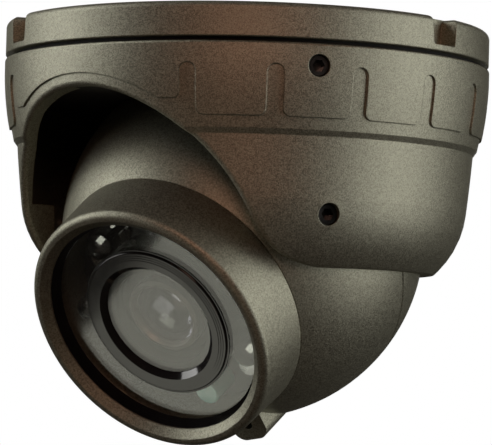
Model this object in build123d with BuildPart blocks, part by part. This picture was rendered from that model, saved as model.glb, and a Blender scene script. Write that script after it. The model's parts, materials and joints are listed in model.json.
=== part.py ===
"""Ceiling dome camera: a metal ball with a lens barrel, aimed through an arch in a round cover."""

import math
import os

from build123d import *

os.makedirs("parts", exist_ok=True)

# Millimetres. The origin is the middle of the flat face that meets the ceiling, +Z is up into the
# ceiling, and the arch of the cover faces -Y.

# Mounting base
base_radius = 45.0
base_drop = 6.2  # ceiling face to the base's lower edge
rim_inner_radius = 41.5
recess_depth = 1.0
web_bottom = -3.8
spigot_radius = 42.42
spigot_inner_radius = 39.2
spigot_bottom = -13.2
notch_width = 7.3
notch_depth = 5.1
notch_azimuth = -25.3  # of the first of three, from the front towards +X
ceiling_hole_radius = 2.25
ceiling_pitch_radius = 31.0
ceiling_hole_azimuth = 35.0
cable_bore_radius = 12.0

# Cover shell
cover_radius = 45.1
cover_top = -7.0
cover_bottom = -46.0
relief = 0.42  # how far the raised pads stand out of the band
pad_bottom = -19.9
finger_width = 3.0
finger_top = -10.8
finger_azimuths = [side * (29.4 + 20.0 * step) for side in (1, -1) for step in range(8)]
arch_top = -14.4
arch_half_width = 28.3
arch_spring = -41.0  # where the arch's sides start to flare
arch_flare = 5.0
cover_bore_radius = 42.5
ledge_top = -14.5

# Set screws in the cover
screw_radius = 1.95
screw_hole_radius = 2.0
socket_across_flats = 2.0
cover_screw_drop = -10.9
cover_screw_azimuths = [59.2, 179.2, 299.2]
lock_screw_drop = -36.5
lock_screw_azimuths = [64.5, -64.5]

# Ball and how it is aimed at rest
ball_drop = -38.6
ball_radius = 33.7
ball_wall = 2.4
ball_clearance = 0.05
aim_down = 33.4  # optical axis below the horizontal
aim_across = 7.3  # optical axis turned from the arch's middle towards +X
aim_roll = 9.0  # ball turned about the optical axis, anticlockwise from the front

# Along the optical axis, distances from the ball's centre
barrel_rear = 22.6
barrel_front = 34.4
barrel_rear_radius = 25.0
barrel_front_radius = 24.55
neck_radius = 23.35
neck_inner_radius = 21.4
neck_front = 29.35
window_rear = 29.7
window_front = 30.7
retainer_front = 32.75
lip_radius = 21.35
lip_front = 33.1
shroud_front = 31.5
shroud_radius = 14.6
shroud_glass_front = 30.4
shroud_glass_sight = 10.8  # radius of the shroud's glass that shows
led_board_front = 21.2
led_board_rear = 19.6
sensor_board_front = 1.8
sensor_board_rear = 0.2
power_board_front = -10.2
power_board_rear = -11.8
board_radius = 21.0
lamp_circle_radius = 17.0
lamp_step = 360.0 / 7.0
gap = 0.05  # between pieces that are fixed to each other

# Directions of the ball: out of the lens, to its right seen from the front, and to its 12 o'clock
down, across, roll = (math.radians(a) for a in (aim_down, aim_across, aim_roll))
aim = Vector(math.cos(down) * math.sin(across), -math.cos(down) * math.cos(across), -math.sin(down))
level = Vector(math.cos(across), math.sin(across), 0)
ball_right = level * math.cos(roll) + aim.cross(level) * math.sin(roll)
ball_up = aim.cross(ball_right)
ball_centre = Vector(0, 0, ball_drop)
ball_plane = Plane(origin=ball_centre, x_dir=ball_right, z_dir=aim)
ball_section = Plane(origin=ball_centre, x_dir=ball_right, z_dir=ball_up * -1)
optical_axis = Axis(ball_centre, aim)


def on_sphere(radius, height):
    """Distance from the axis of a sphere's point at this height over its centre."""
    return math.sqrt(radius**2 - height**2)


def radial_plane(azimuth, radius, height):
    """Plane facing outwards from the vertical axis, its Y up."""
    angle = math.radians(azimuth)
    out = Vector(math.sin(angle), -math.cos(angle), 0)
    sideways = Vector(math.cos(angle), math.sin(angle), 0)
    return Plane(origin=out * radius + Vector(0, 0, height), x_dir=sideways, z_dir=out)


def turn(points, plane=Plane.XZ, axis=Axis.Z, mode=Mode.ADD):
    """Revolve a closed outline of straight lines in the part that is being built."""
    with BuildSketch(plane) as outline:
        with BuildLine():
            Polyline(*points, close=True)
        make_face()
    revolve(outline.sketch, axis=axis, mode=mode)


def turn_in_ball(points, mode=Mode.ADD):
    """Revolve an outline of (radius, distance along the optical axis) about the optical axis."""
    turn(points, plane=ball_section, axis=optical_axis, mode=mode)


def round_bar(plane, radius, length, mode=Mode.ADD):
    """A cylinder that stands on a plane, along its normal."""
    with BuildSketch(plane) as outline:
        Circle(radius)
    extrude(outline.sketch, amount=length, mode=mode)


def block(plane, width, height, length, mode=Mode.ADD):
    """A rectangular block that stands on a plane, along its normal."""
    with BuildSketch(plane) as outline:
        Rectangle(width, height)
    extrude(outline.sketch, amount=length, mode=mode)


def in_ball(x, y, along):
    """The ball's plane moved to a place in it."""
    return Plane(origin=ball_plane.from_local_coords((x, y, along)), x_dir=ball_right, z_dir=aim)


def clock_place(degrees, radius):
    """A place round the optical axis, in degrees anticlockwise from 12 o'clock."""
    angle = math.radians(90.0 + degrees)
    return radius * math.cos(angle), radius * math.sin(angle)


def finish(piece, name):
    """Label a piece and write it."""
    piece.part.label = name
    export_step(piece.part, f"parts/{name}.step")


# ---------------------------------------------------------------- mounting base
rim_round = 1.2
rim_lower_chamfer = 0.15
notch_flare = 0.8
notch_corner = 0.6
notch_draft = 0.35  # how much each side of a notch leans in on its way down
groove_depth = 1.1
groove_half_width = 0.9

with BuildPart() as mounting_base:
    turn(
        [
            (cable_bore_radius, -recess_depth),
            (rim_inner_radius, -recess_depth),
            (rim_inner_radius, 0),
            (base_radius, 0),
            (base_radius, -base_drop),
            (spigot_inner_radius, -base_drop),
            (spigot_inner_radius, web_bottom),
            (cable_bore_radius, web_bottom),
        ]
    )
    outer_edges = mounting_base.edges().filter_by(GeomType.CIRCLE)
    outer_edges = outer_edges.filter_by(lambda e: abs(e.radius - base_radius) < 1e-3)
    fillet(outer_edges.sort_by(Axis.Z)[-1:], radius=rim_round)
    lower_edges = mounting_base.edges().filter_by(GeomType.CIRCLE)
    lower_edges = lower_edges.filter_by(lambda e: abs(e.radius - base_radius) < 1e-3)
    chamfer(lower_edges.sort_by(Axis.Z)[:1], length=rim_lower_chamfer)
    # Collar round the cable bore and pads round the screw holes, flush with the ceiling
    turn([(cable_bore_radius, -2.0), (14.5, -2.0), (14.5, 0), (cable_bore_radius, 0)])
    for step in range(3):
        azimuth = math.radians(ceiling_hole_azimuth + 120.0 * step)
        place = (ceiling_pitch_radius * math.sin(azimuth), -ceiling_pitch_radius * math.cos(azimuth))
        with BuildSketch(Plane.XY.offset(-2.0)):
            with Locations(place):
                Circle(5.5)
        extrude(amount=2.0)
    # Rim notches, with rounded mouths and corners
    for step in range(3):
        half = notch_width / 2
        foot = half - notch_draft
        plane = radial_plane(notch_azimuth + 120.0 * step, rim_inner_radius, 0)
        with BuildSketch(plane) as notch:
            with BuildLine():
                Polyline((-half - notch_flare, 0), (-half - notch_flare, 1), (half + notch_flare, 1),
                         (half + notch_flare, 0))
                RadiusArc((half + notch_flare, 0), (half, -notch_flare), -notch_flare)
                Line((half, -notch_flare), (foot, -notch_depth + notch_corner))
                RadiusArc((foot, -notch_depth + notch_corner), (foot - notch_corner, -notch_depth),
                          notch_corner)
                Line((foot - notch_corner, -notch_depth), (-foot + notch_corner, -notch_depth))
                RadiusArc((-foot + notch_corner, -notch_depth), (-foot, -notch_depth + notch_corner),
                          notch_corner)
                Line((-foot, -notch_depth + notch_corner), (-half, -notch_flare))
                RadiusArc((-half, -notch_flare), (-half - notch_flare, 0), -notch_flare)
            make_face()
        extrude(notch.sketch, amount=8.0, mode=Mode.SUBTRACT)
    # Countersunk ceiling screw holes, driven from below
    for step in range(3):
        azimuth = math.radians(ceiling_hole_azimuth + 120.0 * step)
        place = (ceiling_pitch_radius * math.sin(azimuth), -ceiling_pitch_radius * math.cos(azimuth))
        with Locations(Plane(origin=(*place, web_bottom), z_dir=(0, 0, -1))):
            CounterSinkHole(ceiling_hole_radius, 4.3, depth=8.0, counter_sink_angle=90)
finish(mounting_base, "mounting_base")

# The ring that the cover turns on, pressed up against the base, with a groove for the set screws
with BuildPart() as spigot_ring:
    turn(
        [
            (spigot_inner_radius, -base_drop - gap),
            (spigot_radius, -base_drop - gap),
            (spigot_radius, cover_screw_drop + groove_half_width + groove_depth),
            (spigot_radius - groove_depth, cover_screw_drop + groove_half_width),
            (spigot_radius - groove_depth, cover_screw_drop - groove_half_width),
            (spigot_radius, cover_screw_drop - groove_half_width - groove_depth),
            (spigot_radius, spigot_bottom),
            (spigot_inner_radius, spigot_bottom),
        ]
    )
finish(spigot_ring, "spigot_ring")

gasket_radius = base_radius - 1.6
with BuildPart() as cover_gasket:
    turn(
        [
            (spigot_radius + gap, -base_drop - gap),
            (gasket_radius, -base_drop - gap),
            (gasket_radius, cover_top + gap),
            (spigot_radius + gap, cover_top + gap),
        ]
    )
finish(cover_gasket, "cover_gasket")

# ---------------------------------------------------------------- cover shell
seat_radius = ball_radius + ball_clearance
seat_bottom = cover_bottom - ball_drop
seat_top = -4.6
seat_band_radius = 35.4
seat_band_top = -33.6
bottom_rise = 0.83  # degrees that the bottom face climbs towards the back

arch_edge_round = 0.9
pad_root = 0.5  # how deep the pads' layer reaches into the band under them

# The border over the arch: its outline, seen from the front
border_reach = 20.2
border_end = 17.0
border_low = -17.0
border_crown = -12.15
finger_mouth_round = 1.4
finger_inner_round = 0.9


def finger_outline(azimuth):
    """The recess of one finger: a round top, straight sides, and rounded pad corners below."""
    half = finger_width / 2
    towards_arch = 0
    if abs(azimuth) == abs(finger_azimuths[0]):
        towards_arch = -1 if azimuth > 0 else 1
    sides = {}
    for side in (-1, 1):
        floor, turn_radius = pad_bottom, finger_mouth_round
        if side == towards_arch:
            floor, turn_radius = border_low, finger_inner_round
        sides[side] = (side * (half + turn_radius), floor), (side * half, floor + turn_radius)
    left_mouth, left_wall = sides[-1]
    right_mouth, right_wall = sides[1]
    with BuildSketch(radial_plane(azimuth, 38.0, 0)) as outline:
        with BuildLine():
            Line(left_wall, (-half, finger_top - half))
            ThreePointArc((-half, finger_top - half), (0, finger_top), (half, finger_top - half))
            Line((half, finger_top - half), right_wall)
            RadiusArc(right_wall, right_mouth, -abs(right_mouth[0] - right_wall[0]))
            Polyline(right_mouth, (right_mouth[0], -21.5), (left_mouth[0], -21.5), left_mouth)
            RadiusArc(left_mouth, left_wall, -abs(left_mouth[0] - left_wall[0]))
        make_face()
    return outline.sketch


# The raised pads of the band: a thin layer, less the fingers and the border over the arch
with BuildPart() as pads:
    floor = relief + pad_root
    with BuildSketch(Plane.XZ):
        with BuildLine():
            Line((cover_radius - floor, -8.3), (cover_radius, -8.3))
            Line((cover_radius, -8.3), (cover_radius, -8.5))
            ThreePointArc((cover_radius, -8.5), (44.87, -13.8), (43.95, pad_bottom))
            Line((43.95, pad_bottom), (43.95 - floor, pad_bottom))
            ThreePointArc((43.95 - floor, pad_bottom), (44.87 - floor, -13.8), (cover_radius - floor, -8.5))
            Line((cover_radius - floor, -8.5), (cover_radius - floor, -8.3))
        make_face()
    revolve(axis=Axis.Z)
    for azimuth in finger_azimuths:
        extrude(finger_outline(azimuth), amount=10.0, mode=Mode.SUBTRACT)
    with BuildSketch(Plane.XZ) as border:
        with BuildLine():
            ThreePointArc((-border_end, border_low), (0, border_crown), (border_end, border_low))
            Polyline((border_end, border_low), (border_reach, border_low), (border_reach, -21),
                     (-border_reach, -21), (-border_reach, border_low), (-border_end, border_low))
        make_face()
    extrude(border.sketch, amount=60, mode=Mode.SUBTRACT)

with BuildPart() as cover_shell:
    with BuildSketch(Plane.XZ):
        with BuildLine():
            Polyline((cover_bore_radius, ledge_top), (cover_bore_radius, cover_top), (44.7, cover_top))
            RadiusArc((44.7, cover_top), (cover_radius, cover_top - 0.4), 0.4)
            Polyline((cover_radius, cover_top - 0.4), (cover_radius, -8.5), (cover_radius - relief, -8.5))
            ThreePointArc((cover_radius - relief, -8.5), (44.87 - relief, -13.8),
                          (43.95 - relief, pad_bottom))
            Polyline((43.95 - relief, pad_bottom), (43.1, -22.0), (42.37, -23.0))
            ThreePointArc((42.37, -23.0), (41.93, -28.0), (41.3, -33.9))
            ThreePointArc((41.3, -33.9), (39.1, -40.65), (35.5, -45.1))
            Polyline((35.5, -45.1), (34.2, cover_bottom),
                     (on_sphere(seat_radius, seat_bottom), cover_bottom))
            ThreePointArc(
                (on_sphere(seat_radius, seat_bottom), cover_bottom),
                (on_sphere(seat_radius, -6.0), ball_drop - 6.0),
                (on_sphere(seat_radius, seat_top), ball_drop + seat_top),
            )
            Polyline(
                (on_sphere(seat_radius, seat_top), ball_drop + seat_top),
                (seat_band_radius, -41.5),
                (seat_band_radius, seat_band_top),
                (39.3, seat_band_top),
                (39.5, -24.0),
                (41.0, -18.0),
                (41.0, ledge_top),
                (cover_bore_radius, ledge_top),
            )
        make_face()
    revolve(axis=Axis.Z)
    outer_faces = [face for face in cover_shell.faces() if face.normal_at().dot(
        Vector(face.center_location.position.X, face.center_location.position.Y, 0)) > 0]
    # Arched opening, flaring into the flat bottom, with its outer edge rounded
    flare_centre = arch_half_width + arch_flare
    flare_mid = arch_flare * math.sqrt(0.5)
    with BuildSketch(Plane.XZ):
        with BuildLine():
            ThreePointArc((-arch_half_width, arch_spring), (0, arch_top), (arch_half_width, arch_spring))
            ThreePointArc(
                (arch_half_width, arch_spring),
                (flare_centre - flare_mid, arch_spring - flare_mid),
                (flare_centre, arch_spring - arch_flare),
            )
            Polyline((flare_centre, arch_spring - arch_flare), (flare_centre, -50), (-flare_centre, -50),
                     (-flare_centre, arch_spring - arch_flare))
            ThreePointArc(
                (-flare_centre, arch_spring - arch_flare),
                (-flare_centre + flare_mid, arch_spring - flare_mid),
                (-arch_half_width, arch_spring),
            )
        make_face()
    extrude(amount=60, mode=Mode.SUBTRACT)
    arch_edges = [edge for edge in cover_shell.edges(Select.LAST)
                  if abs((edge @ 0.5).Z - (edge @ 0).Z) > 0.1
                  and any(face.distance_to(edge @ 0.5) < 0.01 for face in outer_faces)]
    fillet(arch_edges, radius=arch_edge_round)
    add(pads.part)
    # Bottom face, from the front edge upwards to the back
    with BuildSketch(Plane(origin=(0, -base_radius, cover_bottom), z_dir=(0, 0, 1)).rotated(
            (bottom_rise, 0, 0))) as bottom:
        with Locations((0, base_radius)):
            Rectangle(2 * base_radius + 10, 2 * base_radius + 10)
    extrude(bottom.sketch, amount=-5, mode=Mode.SUBTRACT)
    for azimuth in cover_screw_azimuths:
        plane = radial_plane(azimuth, 40.0, cover_screw_drop)
        round_bar(plane, screw_hole_radius, 7.0, mode=Mode.SUBTRACT)
    for azimuth in lock_screw_azimuths:
        plane = radial_plane(azimuth, 32.0, lock_screw_drop)
        round_bar(plane, screw_hole_radius, 10.0, mode=Mode.SUBTRACT)
finish(cover_shell, "cover_shell")


def set_screw(azimuth, drop, head_radius, tip_radius, tip_taper):
    """A hex socket set screw that points at the vertical axis."""
    length = head_radius - tip_radius
    with BuildPart() as screw:
        plane = radial_plane(azimuth, tip_radius, drop)
        section = Plane(origin=plane.origin, x_dir=plane.x_dir, z_dir=plane.y_dir * -1)
        turn(
            [
                (0, 0),
                (screw_radius - tip_taper, 0),
                (screw_radius, tip_taper),
                (screw_radius, length - 0.25),
                (screw_radius - 0.25, length),
                (0, length),
            ],
            plane=section,
            axis=Axis(plane.origin, plane.z_dir),
        )
        with BuildSketch(plane.offset(length - 1.8)) as socket:
            RegularPolygon(socket_across_flats / 2, 6, major_radius=False)
        extrude(socket.sketch, amount=2.5, mode=Mode.SUBTRACT)
    return screw


for number, azimuth in enumerate(cover_screw_azimuths, start=1):
    finish(set_screw(azimuth, cover_screw_drop, 44.5, 41.55, 1.0), f"cover_set_screw_{number}")

for number, azimuth in enumerate(lock_screw_azimuths, start=1):
    finish(set_screw(azimuth, lock_screw_drop, 40.15, ball_radius + 0.08, 0.4), f"ball_lock_screw_{number}")

# ---------------------------------------------------------------- ball and its seat
plate_top = -13.25
plate_bottom = -14.45
with BuildPart() as friction_plate:
    with BuildSketch(Plane.XZ):
        with BuildLine():
            Polyline(
                (on_sphere(seat_radius, plate_top - ball_drop), plate_top),
                (42.4, plate_top),
                (42.4, plate_bottom),
                (on_sphere(seat_radius, plate_bottom - ball_drop), plate_bottom),
            )
            ThreePointArc(
                (on_sphere(seat_radius, plate_bottom - ball_drop), plate_bottom),
                (on_sphere(seat_radius, -13.8 - ball_drop), -13.8),
                (on_sphere(seat_radius, plate_top - ball_drop), plate_top),
            )
        make_face()
    revolve(axis=Axis.Z)
    # Open slot at the back, for the camera's cable
    with BuildSketch(Plane.XY.offset(plate_bottom - 1)):
        with Locations((0, 26)):
            SlotOverall(16, 11, rotation=90)
        with Locations((0, 22)):
            Rectangle(11, 8)
    extrude(amount=4, mode=Mode.SUBTRACT)
finish(friction_plate, "friction_plate")

inner_radius = ball_radius - ball_wall
seam_half_gap = 0.05
seam_edge = 0.3
seal_groove_radius = 33.2
seal_groove_half = 0.85
spigot_outer = 31.45
spigot_inner = 29.8
spigot_length = 4.0
ledge_radius = 19.8
ledge_front = led_board_rear - gap
ledge_rear = 17.9
shell_screw_radius = 25.5  # from the optical axis
shell_screw_places = [clock_place(angle, shell_screw_radius) for angle in (60, 180, 300)]
lug_half_width = 3.9
lug_reach = 30.9
lug_front = 22.0
lug_hole_distance = 27.6

with BuildPart() as seam_seal:
    with BuildSketch(ball_section) as section:
        with Locations((32.35, 0)):
            Circle(0.78)
    revolve(section.sketch, axis=optical_axis)
finish(seam_seal, "seam_seal")

with BuildPart() as ball_front_shell:
    with BuildSketch(ball_section) as section:
        with BuildLine():
            Polyline((seal_groove_radius, seam_half_gap), (33.5, seam_half_gap),
                     (on_sphere(ball_radius, seam_edge), seam_edge))
            ThreePointArc(
                (on_sphere(ball_radius, seam_edge), seam_edge),
                (on_sphere(ball_radius, 12.0), 12.0),
                (on_sphere(ball_radius, barrel_rear), barrel_rear),
            )
            Polyline(
                (on_sphere(ball_radius, barrel_rear), barrel_rear),
                (neck_radius, barrel_rear),
                (neck_radius, neck_front),
                (neck_inner_radius, neck_front),
                (neck_inner_radius, ledge_front),
                (ledge_radius, ledge_front),
                (ledge_radius, ledge_rear),
                (on_sphere(inner_radius, ledge_rear), ledge_rear),
            )
            ThreePointArc(
                (on_sphere(inner_radius, ledge_rear), ledge_rear),
                (on_sphere(inner_radius, 11.0), 11.0),
                (on_sphere(inner_radius, spigot_length + 0.1), spigot_length + 0.1),
            )
            Polyline(
                (on_sphere(inner_radius, spigot_length + 0.1), spigot_length + 0.1),
                (spigot_outer + gap, spigot_length + 0.1),
                (spigot_outer + gap, seal_groove_half),
                (seal_groove_radius, seal_groove_half),
                (seal_groove_radius, seam_half_gap),
            )
        make_face()
    revolve(section.sketch, axis=optical_axis)
    # Bosses for the screws that join the two halves
    for x, y in shell_screw_places:
        round_bar(in_ball(x, y, -3.95), 3.0, 19.0)
        round_bar(in_ball(x, y, -4.5), 1.05, 10.0, mode=Mode.SUBTRACT)
    # Lug at 6 o'clock, with a blind hole
    with BuildSketch(in_ball(0, 0, 10.0)) as lug:
        with Locations((0, -(lug_reach + 24.0) / 2)):
            RectangleRounded(2 * lug_half_width, lug_reach - 24.0, 2.4)
        with Locations((0, -26.0)):
            Rectangle(2 * lug_half_width, 3.0)
    extrude(lug.sketch, amount=lug_front - 10.0)
    round_bar(in_ball(0, -lug_hole_distance, lug_front - 6.0), 1.1, 8.0, mode=Mode.SUBTRACT)
finish(ball_front_shell, "ball_front_shell")

grommet_angle = math.radians(150.0)  # between the optical axis and the cable's way out
grommet_radius = 4.0
grommet_out = aim * math.cos(grommet_angle) + ball_up * math.sin(grommet_angle)
grommet_plane = Plane(origin=ball_centre, x_dir=ball_right, z_dir=grommet_out)

with BuildPart() as ball_rear_cap:
    with BuildSketch(ball_section) as section:
        with BuildLine():
            Polyline((seal_groove_radius, -seam_half_gap), (33.5, -seam_half_gap),
                     (on_sphere(ball_radius, seam_edge), -seam_edge))
            ThreePointArc(
                (on_sphere(ball_radius, seam_edge), -seam_edge),
                (on_sphere(ball_radius, 23.0), -23.0),
                (0, -ball_radius),
            )
            Line((0, -ball_radius), (0, -inner_radius))
            ThreePointArc(
                (0, -inner_radius),
                (on_sphere(inner_radius, 25.0), -25.0),
                (spigot_inner, -on_sphere(inner_radius, spigot_inner)),
            )
            Polyline(
                (spigot_inner, -on_sphere(inner_radius, spigot_inner)),
                (spigot_inner, spigot_length),
                (spigot_outer, spigot_length),
                (spigot_outer, -seal_groove_half),
                (seal_groove_radius, -seal_groove_half),
                (seal_groove_radius, -seam_half_gap),
            )
        make_face()
    revolve(section.sketch, axis=optical_axis)
    for x, y in shell_screw_places:
        round_bar(in_ball(x, y, -17.6), 3.1, 13.55)
        round_bar(in_ball(x, y, -30.0), 2.0, 23.0, mode=Mode.SUBTRACT)
        round_bar(in_ball(x, y, -8.0), 1.1, 8.0, mode=Mode.SUBTRACT)
    round_bar(grommet_plane.offset(28.0), grommet_radius + gap, 8.0, mode=Mode.SUBTRACT)
finish(ball_rear_cap, "ball_rear_cap")

with BuildPart() as ball_shell_screws:
    for x, y in shell_screw_places:
        round_bar(in_ball(x, y, -9.3), 1.9, 2.25)
        round_bar(in_ball(x, y, -7.1), 1.0, 11.0)
        with BuildSketch(in_ball(x, y, -9.4)) as socket:
            Rectangle(2.6, 0.6)
            Rectangle(0.6, 2.6)
        extrude(socket.sketch, amount=1.2, mode=Mode.SUBTRACT)
finish(ball_shell_screws, "ball_shell_screws")

with BuildPart() as cable_grommet:
    round_bar(grommet_plane.offset(30.3), grommet_radius, 3.0)
    round_bar(grommet_plane.offset(28.0), grommet_radius + 1.2, 2.4)
    round_bar(grommet_plane.offset(27.0), 2.0, 8.0, mode=Mode.SUBTRACT)
finish(cable_grommet, "cable_grommet")

# ---------------------------------------------------------------- barrel front
bezel_rear = barrel_rear + gap
bezel_rear_chamfer = 0.15
bezel_front_round = 1.2
bezel_crest_radius = 22.8  # inner end of the flat ring at the very front
lip_edge = 0.3
insert_radius = 22.95  # bore that holds the window and its retainer
insert_rear = neck_front + 0.25

with BuildPart() as bezel_ring:
    crest_outer = barrel_front_radius - bezel_front_round
    with BuildSketch(ball_section) as section:
        with BuildLine():
            Polyline(
                (neck_radius + gap, bezel_rear),
                (barrel_rear_radius - bezel_rear_chamfer, bezel_rear),
                (barrel_rear_radius, bezel_rear + bezel_rear_chamfer),
                (barrel_front_radius, barrel_front - bezel_front_round),
            )
            RadiusArc((barrel_front_radius, barrel_front - bezel_front_round),
                      (crest_outer, barrel_front), -bezel_front_round)
            Polyline(
                (crest_outer, barrel_front),
                (bezel_crest_radius, barrel_front),
                (lip_radius, lip_front),
                (lip_radius, lip_front - lip_edge),
                (insert_radius, lip_front - lip_edge),
                (insert_radius, insert_rear),
                (neck_radius + gap, insert_rear),
                (neck_radius + gap, bezel_rear),
            )
        make_face()
    revolve(section.sketch, axis=optical_axis)
finish(bezel_ring, "bezel_ring")

retainer_outer = insert_radius - 0.1
retainer_inner = 20.5
retainer_steps = 4
step_width = (lip_radius - retainer_inner) / retainer_steps
step_height = 0.45

with BuildPart() as retainer_ring:
    stair = []
    for step in range(retainer_steps):
        stair.append((lip_radius - step * step_width, retainer_front - step * step_height))
        stair.append((lip_radius - step * step_width, retainer_front - (step + 1) * step_height))
    turn_in_ball(
        [
            (retainer_outer, window_front + gap),
            (retainer_outer, retainer_front),
            *stair,
            (retainer_inner, retainer_front - retainer_steps * step_height),
            (retainer_inner, window_front + gap),
        ]
    )
finish(retainer_ring, "retainer_ring")

window_inner_radius = 14.2
gasket_half_thickness = 0.125

with BuildPart() as window_glass:
    turn_in_ball([(window_inner_radius, window_rear), (retainer_outer, window_rear),
                  (retainer_outer, window_front), (window_inner_radius, window_front)])
finish(window_glass, "window_glass")

with BuildPart() as window_gasket:
    gasket_front = window_rear - gap
    gasket_rear = gasket_front - 2 * gasket_half_thickness
    turn_in_ball([(neck_inner_radius + 0.1, gasket_rear), (insert_radius - gap, gasket_rear),
                  (insert_radius - gap, gasket_front), (neck_inner_radius + 0.1, gasket_front)])
finish(window_gasket, "window_gasket")

shroud_bore = 11.7
shroud_tail_radius = 14.1  # where it passes through the window
flange_radius = 14.95
flange_height = 0.1
shroud_round = 0.3
shoulder_steps = 3
shoulder_step_width = 0.4
shoulder_step_height = 0.1
sight_land = 0.06

with BuildPart() as lens_shroud:
    flange_rear = window_front + gap
    flat_radius = shroud_radius - shroud_round - shoulder_steps * shoulder_step_width
    shoulder = shroud_front - shoulder_steps * shoulder_step_height
    crest = []
    for step in range(shoulder_steps):
        reach = shroud_radius - shroud_round - step * shoulder_step_width
        height = shoulder + step * shoulder_step_height
        crest.append((reach, height))
        crest.append((reach - shoulder_step_width, height))
    with BuildSketch(ball_section) as section:
        with BuildLine():
            Polyline(
                (shroud_bore, led_board_front + gap),
                (shroud_tail_radius, led_board_front + gap),
                (shroud_tail_radius, flange_rear),
                (flange_radius, flange_rear),
                (flange_radius, flange_rear + flange_height),
                (shroud_radius, flange_rear + flange_height),
                (shroud_radius, shoulder - shroud_round),
            )
            RadiusArc((shroud_radius, shoulder - shroud_round), (shroud_radius - shroud_round, shoulder),
                      -shroud_round)
            Polyline(
                *crest,
                (flat_radius, shroud_front),
                (shroud_bore + 0.1, shroud_front),
                (shroud_bore, shroud_front - 0.1),
                (shroud_glass_sight, shroud_glass_front + gap + sight_land),
                (shroud_glass_sight, shroud_glass_front + gap),
                (shroud_bore, shroud_glass_front + gap),
                (shroud_bore, led_board_front + gap),
            )
        make_face()
    revolve(section.sketch, axis=optical_axis)
finish(lens_shroud, "lens_shroud")

shroud_glass_thickness = 0.9
with BuildPart() as shroud_glass:
    shroud_glass_rear = shroud_glass_front - shroud_glass_thickness
    turn_in_ball([(0, shroud_glass_rear), (shroud_bore - gap, shroud_glass_rear),
                  (shroud_bore - gap, shroud_glass_front), (0, shroud_glass_front)])
finish(shroud_glass, "shroud_glass")

seal_rear = 23.2
seal_front = 26.0
seal_sight_front = 29.1
seal_sight_radius = 9.5
lens_radius = 7.2
with BuildPart() as light_seal:
    seal_outer = shroud_bore - 2 * gap
    turn_in_ball(
        [
            (lens_radius + 0.1, seal_rear),
            (seal_outer, seal_rear),
            (seal_outer, seal_sight_front),
            (seal_sight_radius, seal_sight_front),
            (seal_sight_radius, seal_front + 0.9),
            (seal_sight_radius - 0.9, seal_front),
            (lens_radius + 0.1, seal_front),
        ]
    )
finish(light_seal, "light_seal")

# ---------------------------------------------------------------- lamps
lamp_angles = [lamp_step * (place + 0.5) for place in range(7)]  # the fourth is at 6 o'clock
sensor_angle = lamp_angles.pop(3)
lamp_foot = led_board_front + gap
lamp_radius = 2.5
lamp_flange_radius = 2.9
lamp_flange_height = 1.0
lamp_dome_start = 27.0
cup_radius = 1.15
cup_rim = 0.12
cup_floor_radius = 0.5
cup_depth = 0.55
cup_height = 5.0
cup_stem_radius = 0.4
cup_neck_height = 3.8
post_circle_radius = 17.3
post_places = [clock_place(angle, post_circle_radius) for angle in
               (lamp_step, -lamp_step, 3 * lamp_step, -3 * lamp_step)]


def cup_outline(margin):
    """Outside of the reflector cup on its stem, this much larger all round."""
    return [
        (0, 0),
        (cup_stem_radius + margin, 0),
        (cup_stem_radius + margin, cup_neck_height),
        (cup_radius + margin, cup_height - cup_depth),
        (cup_radius + margin, cup_height + margin),
    ]


for number, angle in enumerate(lamp_angles, start=1):
    foot = in_ball(*clock_place(angle, lamp_circle_radius), lamp_foot)
    section_plane = Plane(origin=foot.origin, x_dir=foot.x_dir, z_dir=foot.y_dir * -1)
    dome_height = lamp_dome_start - lamp_foot
    with BuildPart() as lamp:
        with BuildSketch(section_plane) as section:
            with BuildLine():
                Polyline((0, 0), (lamp_flange_radius, 0), (lamp_flange_radius, lamp_flange_height),
                         (lamp_radius, lamp_flange_height), (lamp_radius, dome_height))
                RadiusArc((lamp_radius, dome_height), (0, dome_height + lamp_radius), -lamp_radius)
                Line((0, dome_height + lamp_radius), (0, 0))
            make_face()
        revolve(section.sketch, axis=Axis(foot.origin, aim))
        turn([*cup_outline(gap), (0, cup_height + gap)], plane=section_plane,
             axis=Axis(foot.origin, aim), mode=Mode.SUBTRACT)
    finish(lamp, f"ir_led_{number}")

with BuildPart() as led_cups:
    for angle in lamp_angles:
        foot = in_ball(*clock_place(angle, lamp_circle_radius), lamp_foot)
        section_plane = Plane(origin=foot.origin, x_dir=foot.x_dir, z_dir=foot.y_dir * -1)
        turn(
            [
                *cup_outline(0),
                (cup_radius - cup_rim, cup_height),
                (cup_floor_radius, cup_height - cup_depth),
                (0, cup_height - cup_depth),
            ],
            plane=section_plane,
            axis=Axis(foot.origin, aim),
        )
        block(foot.offset(cup_height - cup_depth), cup_floor_radius, cup_floor_radius, 0.25)
finish(led_cups, "led_cups")

light_sensor_height = 6.1
with BuildPart() as light_sensor:
    x, y = clock_place(sensor_angle, lamp_circle_radius)
    round_bar(in_ball(x, y, lamp_foot), lamp_radius, light_sensor_height)
    chamfer(light_sensor.edges().filter_by(GeomType.CIRCLE).sort_by(optical_axis)[-1:], length=0.3)
finish(light_sensor, "light_sensor")

# ---------------------------------------------------------------- boards
board_hole_radius = 1.1
led_board_bore = 8.0
led_board_radius = neck_inner_radius - 0.2

with BuildPart() as led_board:
    turn_in_ball([(led_board_bore, led_board_rear), (led_board_radius, led_board_rear),
                  (led_board_radius, led_board_front), (led_board_bore, led_board_front)])
    for x, y in post_places:
        round_bar(in_ball(x, y, led_board_rear - 1), board_hole_radius, 4.0, mode=Mode.SUBTRACT)
finish(led_board, "led_board")

with BuildPart() as sensor_board:
    turn_in_ball([(0, sensor_board_rear), (board_radius, sensor_board_rear),
                  (board_radius, sensor_board_front), (0, sensor_board_front)])
    for x, y in post_places:
        round_bar(in_ball(x, y, sensor_board_rear - 1), board_hole_radius, 4.0, mode=Mode.SUBTRACT)
finish(sensor_board, "sensor_board")

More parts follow.
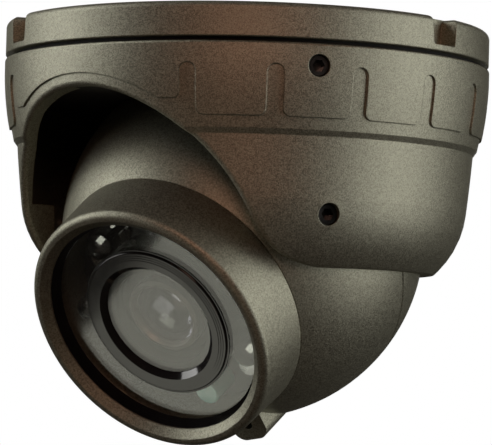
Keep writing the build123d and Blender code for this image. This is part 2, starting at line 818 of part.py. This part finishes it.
with BuildPart() as power_board:
    turn_in_ball([(0, power_board_rear), (board_radius, power_board_rear),
                  (board_radius, power_board_front), (0, power_board_front)])
    for x, y in post_places:
        round_bar(in_ball(x, y, power_board_rear - 1), board_hole_radius, 4.0, mode=Mode.SUBTRACT)
finish(power_board, "power_board")


post_across_flats = 4.0
post_thread_radius = 1.0


def hex_post(x, y, start, end):
    """A hexagonal stand-off with a threaded bore."""
    with BuildSketch(in_ball(x, y, start)) as outline:
        RegularPolygon(post_across_flats / 2, 6, major_radius=False)
        Circle(post_thread_radius, mode=Mode.SUBTRACT)
    extrude(outline.sketch, amount=end - start)


with BuildPart() as front_posts:
    for x, y in post_places:
        hex_post(x, y, sensor_board_front + gap, led_board_rear - gap)
finish(front_posts, "front_posts")

with BuildPart() as rear_posts:
    for x, y in post_places:
        hex_post(x, y, power_board_front + gap, sensor_board_rear - gap)
finish(rear_posts, "rear_posts")

screw_head_radius = 1.8
screw_head_height = 1.2
screw_shank_radius = 0.95
screw_shank_length = 5.1
with BuildPart() as board_screws:
    for x, y in post_places:
        round_bar(in_ball(x, y, led_board_front + gap), screw_head_radius, screw_head_height)
        round_bar(in_ball(x, y, led_board_front - 5.0), screw_shank_radius, screw_shank_length)
        round_bar(in_ball(x, y, power_board_rear - gap - screw_head_height), screw_head_radius,
                  screw_head_height)
        round_bar(in_ball(x, y, power_board_rear - 0.1), screw_shank_radius, screw_shank_length)
finish(board_screws, "board_screws")

# ---------------------------------------------------------------- lens and its holder
thread_radius = 6.0
holder_bore_radius = 6.05
holder_width = 16.0
holder_top = 9.0
tower_radius = 8.0
tower_top = 14.5
arm_length = 22.4
arm_width = 10.4
arm_bottom = 4.6
arm_height = 3.6
sensor_room = 11.0
sensor_room_height = 3.0
light_path_radius = 2.8
slot_low = 5.6
slot_high = 7.0
slot_half_length = 10.4
slot_half_width = 4.0
filter_travel = 6.5
window_hole_radius = 3.0

with BuildPart() as lens_holder:
    holder_foot = sensor_board_front + gap
    block(in_ball(0, 0, holder_foot), holder_width, holder_width, holder_top + gap - holder_foot)
    block(in_ball(0, 0, arm_bottom), arm_length, arm_width, arm_height)
    round_bar(in_ball(0, 0, holder_top), tower_radius, tower_top - holder_top)
    block(in_ball(0, 0, sensor_board_front), sensor_room, sensor_room, sensor_room_height,
          mode=Mode.SUBTRACT)
    block(in_ball(0, 0, slot_low), 2 * slot_half_length, 2 * slot_half_width, slot_high - slot_low,
          mode=Mode.SUBTRACT)
    round_bar(in_ball(0, 0, 4.0), light_path_radius, 6.0, mode=Mode.SUBTRACT)
    round_bar(in_ball(0, 0, 8.2), holder_bore_radius, 7.0, mode=Mode.SUBTRACT)
finish(lens_holder, "lens_holder")

slide_clearance = 0.08
slide_length = 13.7
slide_width = 2 * slot_half_width - 0.14
filter_thickness = 0.5

with BuildPart() as filter_slide:
    block(in_ball(filter_travel / 2, 0, slot_low + slide_clearance), slide_length, slide_width,
          slot_high - slot_low - 2 * slide_clearance)
    for x in (0, filter_travel):
        round_bar(in_ball(x, 0, slot_low), window_hole_radius, 2.0, mode=Mode.SUBTRACT)
finish(filter_slide, "filter_slide")

for name, x in (("day_filter", 0), ("night_glass", filter_travel)):
    with BuildPart() as pane:
        round_bar(in_ball(x, 0, slot_low + 0.4), window_hole_radius - 0.02, filter_thickness)
    finish(pane, name)

coil_length = 4.3
coil_width = 8.0
with BuildPart() as filter_coil:
    block(in_ball((arm_length + coil_length) / 2 + 0.25, 0, arm_bottom), coil_length, coil_width, arm_height)
finish(filter_coil, "filter_coil")

lock_ring_thickness = 1.8
lock_ring_radius = 8.4
with BuildPart() as lens_lock_ring:
    lock_ring_rear = tower_top + 0.1
    turn_in_ball([(holder_bore_radius, lock_ring_rear), (lock_ring_radius, lock_ring_rear),
                  (lock_ring_radius, lock_ring_rear + lock_ring_thickness),
                  (holder_bore_radius, lock_ring_rear + lock_ring_thickness)])
finish(lens_lock_ring, "lens_lock_ring")

lens_rear = 8.4
lens_thread_end = 18.0
lens_front = 28.5
lens_bore = 4.2
element_radius = 5.85
element_rear = 25.05
element_rim = 27.2
element_crown = 28.6

with BuildPart() as lens_barrel:
    turn_in_ball(
        [
            (lens_bore, lens_rear),
            (thread_radius, lens_rear),
            (thread_radius, lens_thread_end),
            (lens_radius, lens_thread_end),
            (lens_radius, lens_front - 0.3),
            (element_radius + 0.55, lens_front),
            (element_radius + gap, element_rim + 0.6),
            (element_radius + gap, element_rear - gap),
            (lens_bore, element_rear - gap),
        ]
    )
finish(lens_barrel, "lens_barrel")

element_height = element_crown - element_rim
element_curve = (element_radius**2 + element_height**2) / (2 * element_height)
with BuildPart() as front_element:
    with BuildSketch(ball_section) as section:
        with BuildLine():
            Polyline((0, element_rear), (element_radius, element_rear), (element_radius, element_rim))
            RadiusArc((element_radius, element_rim), (0, element_crown), -element_curve)
            Line((0, element_crown), (0, element_rear))
        make_face()
    revolve(section.sketch, axis=optical_axis)
finish(front_element, "front_element")

with BuildPart() as rear_element:
    rear_element_start = lens_rear + 0.2
    rear_element_end = rear_element_start + 1.8
    turn_in_ball([(0, rear_element_start), (lens_bore - gap, rear_element_start),
                  (lens_bore - gap, rear_element_end), (0, rear_element_end)])
finish(rear_element, "rear_element")

# ---------------------------------------------------------------- electronics
chip_thickness = 1.0
sensor_width = 9.0
sensor_height = 8.0
with BuildPart() as image_sensor:
    block(in_ball(0, 0, sensor_board_front + gap), sensor_width, sensor_height, chip_thickness)
finish(image_sensor, "image_sensor")

with BuildPart() as sensor_cover_glass:
    block(in_ball(0, 0, sensor_board_front + chip_thickness + 2 * gap), sensor_width - 1,
          sensor_height - 1, 0.5)
finish(sensor_cover_glass, "sensor_cover_glass")

signal_chip_width = 12.0
with BuildPart() as signal_chip:
    block(in_ball(0, 0, sensor_board_rear - gap - chip_thickness), signal_chip_width, signal_chip_width,
          chip_thickness)
finish(signal_chip, "signal_chip")

coil_place = (6.0, 3.0)
coil_radius = 3.6
coil_height = 3.4
with BuildPart() as power_coil:
    round_bar(in_ball(*coil_place, power_board_front + gap), coil_radius, coil_height)
finish(power_coil, "power_coil")

capacitor_places = [(-6.5, 4.5), (-6.5, -3.0)]
capacitor_radius = 2.5
capacitor_height = 5.6
with BuildPart() as capacitors:
    for x, y in capacitor_places:
        round_bar(in_ball(x, y, power_board_front + gap), capacitor_radius, capacitor_height)
finish(capacitors, "capacitors")

socket_distance = 8.0
socket_width = 12.0
socket_depth = 5.0
socket_height = 5.0
socket_wall = 0.8
with BuildPart() as cable_connector:
    socket_face = power_board_rear - gap - socket_height
    block(in_ball(0, socket_distance, socket_face), socket_width, socket_depth, socket_height)
    block(in_ball(0, socket_distance, socket_face - 0.5), socket_width - 2 * socket_wall,
          socket_depth - 2 * socket_wall, 4.5, mode=Mode.SUBTRACT)
finish(cable_connector, "cable_connector")

connector_distance = 14.0
connector_width = 5.5
connector_depth = 3.6
connector_height = 3.0
led_side_face = led_board_rear - gap - connector_height
sensor_side_face = sensor_board_front + gap + connector_height
with BuildPart() as lead_connectors:
    for start in (led_side_face, sensor_board_front + gap):
        block(in_ball(0, connector_distance, start), connector_width, connector_depth, connector_height)
finish(lead_connectors, "lead_connectors")

lead_radius = 0.8
lead_bow = 2.5
lead_end_gap = 0.4
lead_start = sensor_side_face + lead_end_gap
lead_end = led_side_face - lead_end_gap
lead_run = math.hypot((lead_end - lead_start) / 2, lead_bow)
lead_turn = 2 * math.atan2(lead_bow, (lead_end - lead_start) / 2)
lead_bend = 0.45 * lead_run / math.tan(lead_turn / 2)
print("lead bend radius", round(lead_bend, 2), "in diameters", round(lead_bend / (2 * lead_radius), 2))
with BuildPart() as led_lead:
    section = Plane(origin=ball_centre, x_dir=ball_up, z_dir=ball_up.cross(aim))
    with BuildLine(section) as route:
        FilletPolyline(
            (connector_distance, lead_start),
            (connector_distance + lead_bow, (lead_start + lead_end) / 2),
            (connector_distance, lead_end),
            radius=lead_bend,
        )
    with BuildSketch(Plane(origin=route.line @ 0, z_dir=route.line % 0)) as outline:
        Circle(lead_radius)
    sweep(outline.sketch, path=route.line)
finish(led_lead, "led_lead")
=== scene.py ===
"""Looks, lights and camera for the ceiling dome camera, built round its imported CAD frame."""

import json
import math

import bpy
from mathutils import Matrix, Vector

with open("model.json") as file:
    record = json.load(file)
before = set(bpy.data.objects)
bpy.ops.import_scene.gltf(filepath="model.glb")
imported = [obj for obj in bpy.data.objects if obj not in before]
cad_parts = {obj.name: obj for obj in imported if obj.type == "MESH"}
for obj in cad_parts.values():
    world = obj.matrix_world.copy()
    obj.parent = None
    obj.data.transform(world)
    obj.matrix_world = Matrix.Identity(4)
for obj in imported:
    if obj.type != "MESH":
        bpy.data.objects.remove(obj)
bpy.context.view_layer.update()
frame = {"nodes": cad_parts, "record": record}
nodes = frame["nodes"]
collection = bpy.context.scene.collection

# ---------------------------------------------------------------- camera
# Its place round the object: azimuth from the arch's middle, elevation below the horizon
CAMERA_AZIMUTH = math.radians(42.9)
CAMERA_ELEVATION = math.radians(-3.54)
CAMERA_ROLL = math.radians(1.41)
CAMERA_DISTANCE = 0.6498
# The focal length in pixels of an image this wide, and the sensor in millimetres
FOCAL_PIXELS = 3490.0
IMAGE_WIDTH = 492.0
SENSOR_WIDTH = 36.0
# The point it looks at: a height on the object's axis, moved a little across the view
AIM_HEIGHT = -0.035
AIM_RIGHT = 0.00047
AIM_UP = -0.00097

toward = Vector((
    math.sin(CAMERA_AZIMUTH) * math.cos(CAMERA_ELEVATION),
    -math.cos(CAMERA_AZIMUTH) * math.cos(CAMERA_ELEVATION),
    math.sin(CAMERA_ELEVATION),
))
level_right = Vector((math.cos(CAMERA_AZIMUTH), math.sin(CAMERA_AZIMUTH), 0))
level_up = toward.cross(level_right)
view_right = level_right * math.cos(CAMERA_ROLL) + level_up * math.sin(CAMERA_ROLL)
view_up = level_up * math.cos(CAMERA_ROLL) - level_right * math.sin(CAMERA_ROLL)
middle = Vector((0, 0, AIM_HEIGHT))
looked_at = middle + view_right * AIM_RIGHT + view_up * AIM_UP

lens = bpy.data.cameras.new("camera")
lens.lens = FOCAL_PIXELS / IMAGE_WIDTH * SENSOR_WIDTH
lens.sensor_width = SENSOR_WIDTH
lens.clip_start = 0.01
camera = bpy.data.objects.new("camera", lens)
camera.matrix_world = Matrix((
    (view_right.x, view_up.x, toward.x, looked_at.x + toward.x * CAMERA_DISTANCE),
    (view_right.y, view_up.y, toward.y, looked_at.y + toward.y * CAMERA_DISTANCE),
    (view_right.z, view_up.z, toward.z, looked_at.z + toward.z * CAMERA_DISTANCE),
    (0, 0, 0, 1),
))
collection.objects.link(camera)
bpy.context.scene.camera = camera
bpy.context.scene.view_settings.view_transform = "Standard"


# ---------------------------------------------------------------- node materials
class Look:
    """A node material under construction. Its patterns keep to the object's own metres."""

    def __init__(self, name):
        self.material = bpy.data.materials.new(name)
        self.material.use_nodes = True
        self.tree = self.material.node_tree
        self.tree.nodes.clear()
        self.output = self.tree.nodes.new("ShaderNodeOutputMaterial")
        self.place = self.tree.nodes.new("ShaderNodeTexCoord").outputs["Object"]

    def node(self, kind, inputs=None, **settings):
        """Add a node. An input is a value or another node's output."""
        made = self.tree.nodes.new("ShaderNode" + kind)
        for key, value in settings.items():
            setattr(made, key, value)
        for key, value in (inputs or {}).items():
            self.feed(made.inputs[key], value)
        return made

    def feed(self, socket, value):
        """Give a socket a value, or link an output to it."""
        if isinstance(value, bpy.types.NodeSocket):
            self.tree.links.new(value, socket)
        else:
            socket.default_value = value

    def noise(self, size, detail=2.0, rough=0.5):
        """Noise from 0 to 1, its blotches this many metres across."""
        return self.node("TexNoise", {"Vector": self.place, "Scale": 1.0 / size,
                                      "Detail": detail, "Roughness": rough}).outputs["Fac"]

    def cells(self, size):
        """A random value from 0 to 1 for each cell, its cells this many metres across."""
        made = self.node("TexVoronoi", {"Vector": self.place, "Scale": 1.0 / size})
        return self.node("SeparateColor", {"Color": made.outputs["Color"]}).outputs["Red"]

    def spread(self, value, low, high, start=0.0, end=1.0):
        """Map start to end on to low to high."""
        return self.node("MapRange", {"Value": value, "From Min": start, "From Max": end,
                                      "To Min": low, "To Max": high}).outputs["Result"]

    def add(self, first, second):
        """The sum of two values."""
        return self.node("Math", {0: first, 1: second}, operation="ADD").outputs[0]

    def mixed(self, factor, first, second):
        """Mix two colours."""
        made = self.node("Mix", data_type="RGBA")
        sockets = [socket for socket in made.inputs if socket.type == "RGBA"]
        for socket, value in zip(sockets, (first, second)):
            self.feed(socket, value)
        self.feed(made.inputs[0], factor)
        return [socket for socket in made.outputs if socket.type == "RGBA"][0]

    def bump(self, height, strength, depth, normal=None):
        """A normal that follows a height, this many metres deep."""
        inputs = {"Height": height, "Strength": strength, "Distance": depth}
        if normal is not None:
            inputs["Normal"] = normal
        return self.node("Bump", inputs).outputs["Normal"]

    def finish(self, shader):
        """Send a shader to the output and return the material."""
        self.tree.links.new(shader, self.output.inputs["Surface"])
        return self.material


def colour(red, green, blue):
    return (red, green, blue, 1.0)


# Sizes in metres of the paint's sand texture, its metal flakes and its broad unevenness
GRAIN_SIZE = 0.00015
FLAKE_SIZE = 0.00018
UNEVEN_SIZE = 0.012
GRAIN_DEPTH = 0.00008
EDGE_RADIUS = 0.00025


def painted_casting():
    """Sand-texture metallic paint, with edges softened as a coat of paint softens them."""
    look = Look("painted_casting")
    grain = look.noise(GRAIN_SIZE, 2.0, 0.6)
    flake = look.cells(FLAKE_SIZE)
    broad = look.noise(UNEVEN_SIZE, 2.0)
    tone = look.mixed(look.spread(flake, 0.0, 1.0),
                      colour(0.13, 0.128, 0.1), colour(0.48, 0.477, 0.376))
    tone = look.mixed(look.spread(grain, 0.0, 0.5, 0.35, 0.7), tone, colour(0.5, 0.5, 0.4))
    tone = look.mixed(look.spread(broad, 0.0, 0.18), tone, colour(0.24, 0.228, 0.176))
    rough = look.add(look.spread(grain, 0.36, 0.52), look.spread(flake, -0.07, 0.07))
    edge = look.node("Bevel", {"Radius": EDGE_RADIUS}, samples=4).outputs["Normal"]
    paint = look.node("BsdfPrincipled", {
        "Base Color": tone, "Metallic": 0.85, "Roughness": rough,
        "Normal": look.bump(grain, 0.7, GRAIN_DEPTH, edge), "Specular IOR Level": 0.4})
    return look.finish(paint.outputs[0])


# Sizes in metres of a moulded surface's grain and of its faint blotches
MOULDED_GRAIN_SIZE = 0.0004
MOULDED_GRAIN_DEPTH = 0.00002
POLISHED_GRAIN_DEPTH = 0.000003
BLOTCH_SIZE = 0.006
ROUGHNESS_SPREAD = 0.06


def moulded(name, dark, light, roughness, depth=MOULDED_GRAIN_DEPTH, metallic=0.0, coat=0.0):
    """Plastic, rubber or a soft metal finish with a fine moulded grain and faint blotches."""
    look = Look(name)
    fine = look.noise(MOULDED_GRAIN_SIZE, 3.0, 0.6)
    broad = look.noise(BLOTCH_SIZE, 3.0)
    rough = look.spread(broad, roughness - ROUGHNESS_SPREAD, roughness + ROUGHNESS_SPREAD,
                        0.3, 0.7)
    body = look.node("BsdfPrincipled", {
        "Base Color": look.mixed(look.spread(broad, 0.1, 0.9, 0.3, 0.7), dark, light),
        "Metallic": metallic, "Roughness": rough, "Normal": look.bump(fine, 0.5, depth),
        "Coat Weight": coat, "Coat Roughness": 0.08})
    return look.finish(body.outputs[0])


DUST_SIZE = 0.0009


def clear(name, tint, refraction, roughness=0.0, dust=0.0):
    """Clear glass or resin that lets lamp light through, with a trace of dust."""
    look = Look(name)
    speck = look.noise(DUST_SIZE, 4.0, 0.7)
    pane = look.node("BsdfPrincipled", {
        "Base Color": tint, "IOR": refraction, "Transmission Weight": 1.0,
        "Roughness": look.spread(speck, roughness, roughness + dust, 0.45, 0.8)})
    through = look.node("BsdfTransparent", {"Color": tint})
    path = look.node("LightPath")
    both = look.node("MixShader", {0: path.outputs["Is Shadow Ray"], 1: pane.outputs[0],
                                   2: through.outputs[0]})
    return look.finish(both.outputs[0])


# One material for each of the record's slots. Two colours are a finish's dark and light blotches.
materials = {
    "painted_casting": painted_casting(),
    "steel": moulded(
        "steel", colour(0.42, 0.42, 0.43), colour(0.6, 0.6, 0.62), 0.28, metallic=1.0),
    "black_oxide_steel": moulded(
        "black_oxide_steel", colour(0.05, 0.05, 0.052), colour(0.17, 0.17, 0.17), 0.25,
        metallic=1.0),
    "black_rubber": moulded(
        "black_rubber", colour(0.005, 0.005, 0.005), colour(0.014, 0.014, 0.014), 0.8),
    "black_nylon": moulded(
        "black_nylon", colour(0.015, 0.015, 0.016), colour(0.032, 0.032, 0.034), 0.5),
    "clear_glass": clear("clear_glass", colour(0.93, 0.95, 0.94), 1.5, 0.05, 0.02),
    "coated_glass": clear("coated_glass", colour(0.75, 0.72, 0.86), 1.6),
    "filter_glass": clear("filter_glass", colour(0.45, 0.8, 0.78), 1.5),
    "clear_resin": clear("clear_resin", colour(0.42, 0.42, 0.42), 1.5, 0.1, 0.08),
    "bright_plating": moulded(
        "bright_plating", colour(0.08, 0.075, 0.062), colour(0.15, 0.14, 0.12), 0.42,
        metallic=1.0),
    "teal_resin": moulded(
        "teal_resin", colour(0.14, 0.5, 0.44), colour(0.24, 0.62, 0.55), 0.2, coat=0.6),
    "gloss_black": moulded(
        "gloss_black", colour(0.008, 0.008, 0.009), colour(0.014, 0.014, 0.015), 0.13,
        depth=POLISHED_GRAIN_DEPTH, coat=0.5),
    "black_anodised": moulded(
        "black_anodised", colour(0.1, 0.095, 0.085), colour(0.16, 0.15, 0.135), 0.42,
        metallic=0.7),
    "board_green": moulded(
        "board_green", colour(0.01, 0.08, 0.035), colour(0.02, 0.14, 0.06), 0.35),
    "board_black": moulded(
        "board_black", colour(0.01, 0.011, 0.012), colour(0.025, 0.026, 0.028), 0.35),
    "chip_black": moulded(
        "chip_black", colour(0.02, 0.02, 0.022), colour(0.045, 0.045, 0.05), 0.5),
    "brass": moulded(
        "brass", colour(0.6, 0.44, 0.18), colour(0.78, 0.6, 0.28), 0.3, metallic=1.0),
    "can_aluminium": moulded(
        "can_aluminium", colour(0.6, 0.61, 0.63), colour(0.8, 0.81, 0.83), 0.3, metallic=1.0),
    "connector_white": moulded(
        "connector_white", colour(0.74, 0.72, 0.66), colour(0.86, 0.85, 0.8), 0.45),
    "lead_red": moulded(
        "lead_red", colour(0.42, 0.02, 0.015), colour(0.6, 0.04, 0.03), 0.45),
    "sensor_silicon": moulded(
        "sensor_silicon", colour(0.1, 0.08, 0.14), colour(0.2, 0.16, 0.24), 0.15, metallic=0.9),
}
for part in frame["record"]["subparts"]:
    node = nodes[part["node"]]
    material = materials[part["material_slot"]]
    if not node.data.materials:
        node.data.materials.append(material)
    for slot in node.material_slots:
        slot.material = material

# ---------------------------------------------------------------- studio
WORLD_TINT = colour(1.0, 0.84, 0.7)
WORLD_STRENGTH = 0.022

# The world is white where the camera sees it, and gives the object a faint warm light
world = bpy.data.worlds.new("studio")
world.use_nodes = True
bpy.context.scene.world = world
sky = world.node_tree
sky.nodes.clear()
seen = sky.nodes.new("ShaderNodeBackground")
seen.inputs["Color"].default_value = colour(1, 1, 1)
lit = sky.nodes.new("ShaderNodeBackground")
lit.inputs["Color"].default_value = WORLD_TINT
lit.inputs["Strength"].default_value = WORLD_STRENGTH
ray = sky.nodes.new("ShaderNodeLightPath")
either = sky.nodes.new("ShaderNodeMixShader")
surface = sky.nodes.new("ShaderNodeOutputWorld")
sky.links.new(ray.outputs["Is Camera Ray"], either.inputs[0])
sky.links.new(lit.outputs[0], either.inputs[1])
sky.links.new(seen.outputs[0], either.inputs[2])
sky.links.new(either.outputs[0], surface.inputs["Surface"])


def light_only(holder, lit_objects):
    """Keep a lamp's light to these objects."""
    receivers = bpy.data.collections.new(holder.name + "_receivers")
    for lit_object in lit_objects:
        receivers.objects.link(lit_object)
    holder.light_linking.receiver_collection = receivers


def soft_light(name, place, target, width, height, power, tint, shape="RECTANGLE"):
    """A flat soft lamp at a place, turned towards its target: sizes in metres, power in watts."""
    lamp = bpy.data.lights.new(name, "AREA")
    lamp.shape = shape
    lamp.size, lamp.size_y = width, height
    lamp.energy = power
    lamp.color = tint
    holder = bpy.data.objects.new(name, lamp)
    holder.location = place
    holder.rotation_euler = (place - target).to_track_quat("Z", "Y").to_euler()
    collection.objects.link(holder)
    return holder


def beside(right, forward, up):
    """A place given from the camera's side, its forward towards the camera."""
    flat_toward = Vector((toward.x, toward.y, 0)).normalized()
    return level_right * right + flat_toward * forward + Vector((0, 0, up))


soft_light("soft_light_right", beside(0.83, 0.13, 0.06), middle, 0.6, 0.95, 3.45, (1.0, 0.99, 0.95))
soft_light("soft_light_left", beside(-0.85, -0.1, 0.25), middle, 0.42, 0.9, 3.85, (1.0, 0.99, 0.96))
soft_light("warm_fill", beside(0.0, 0.9, 0.3), middle, 0.4, 0.35, 1.15, (1.0, 0.54, 0.4))
soft_light("low_warm_fill", beside(-0.25, 0.55, -0.5), middle, 0.5, 0.3, 0.17, (1.0, 0.76, 0.58))
soft_light("back_light", beside(0.0, -0.9, 0.2), middle, 0.5, 0.5, 1.0, (1.0, 0.98, 0.95))
soft_light("top_light", beside(0.0, 0.1, 0.95), middle, 1.2, 1.2, 0.32, (1.0, 0.97, 0.92),
           shape="ELLIPSE")

# Pale cards low on the left, which the window and the lens shroud reflect. They light
# nothing else, so that the metal round them keeps its tone.
WINDOW_CENTRE = Vector((0.0018, -0.0233, -0.0551))
CARD_CENTRE = Vector((-0.1433, -0.1332, -0.2963))
CARD_WIDTH = 0.12
CARD_HEIGHT = 0.1
CARD_TINT = (1.0, 0.99, 0.84)
for name, power, lit_nodes in (("window_card", 0.05, ("window_glass", "shroud_glass")),
                               ("shroud_card", 0.031, ("lens_shroud",))):
    card = soft_light(name, CARD_CENTRE, WINDOW_CENTRE, CARD_WIDTH, CARD_HEIGHT, power, CARD_TINT)
    light_only(card, [nodes[lit_node] for lit_node in lit_nodes])

# A wide pale floor far below, under a lamp of its own. It throws no light back at the object.
FLOOR_HEIGHT = -1.5
FLOOR_REACH = 30.0
FLOOR_LAMP_STRENGTH = 3.6
FLOOR_LAMP_SPREAD = math.radians(90)
PAPER_GRAIN_SIZE = 0.003
floor_corners = [(x * FLOOR_REACH, y * FLOOR_REACH, FLOOR_HEIGHT)
                 for x, y in ((-1, -1), (1, -1), (1, 1), (-1, 1))]
floor_mesh = bpy.data.meshes.new("floor")
floor_mesh.from_pydata(floor_corners, [], [(0, 1, 2, 3)])
floor = bpy.data.objects.new("floor", floor_mesh)
collection.objects.link(floor)
floor.visible_diffuse = False
floor.visible_glossy = False
floor.visible_transmission = False
floor_look = Look("pale_floor")
paper = floor_look.mixed(floor_look.noise(PAPER_GRAIN_SIZE, 3.0),
                         colour(0.83, 0.83, 0.82), colour(0.87, 0.87, 0.86))
floor_surface = floor_look.node("BsdfPrincipled", {
    "Base Color": paper, "Roughness": 0.75, "Specular IOR Level": 0.0})
floor_mesh.materials.append(floor_look.finish(floor_surface.outputs[0]))

floor_lamp = bpy.data.lights.new("floor_lamp", "SUN")
floor_lamp.energy = FLOOR_LAMP_STRENGTH
floor_lamp.angle = FLOOR_LAMP_SPREAD
floor_lamp_holder = bpy.data.objects.new("floor_lamp", floor_lamp)
collection.objects.link(floor_lamp_holder)
light_only(floor_lamp_holder, [floor])
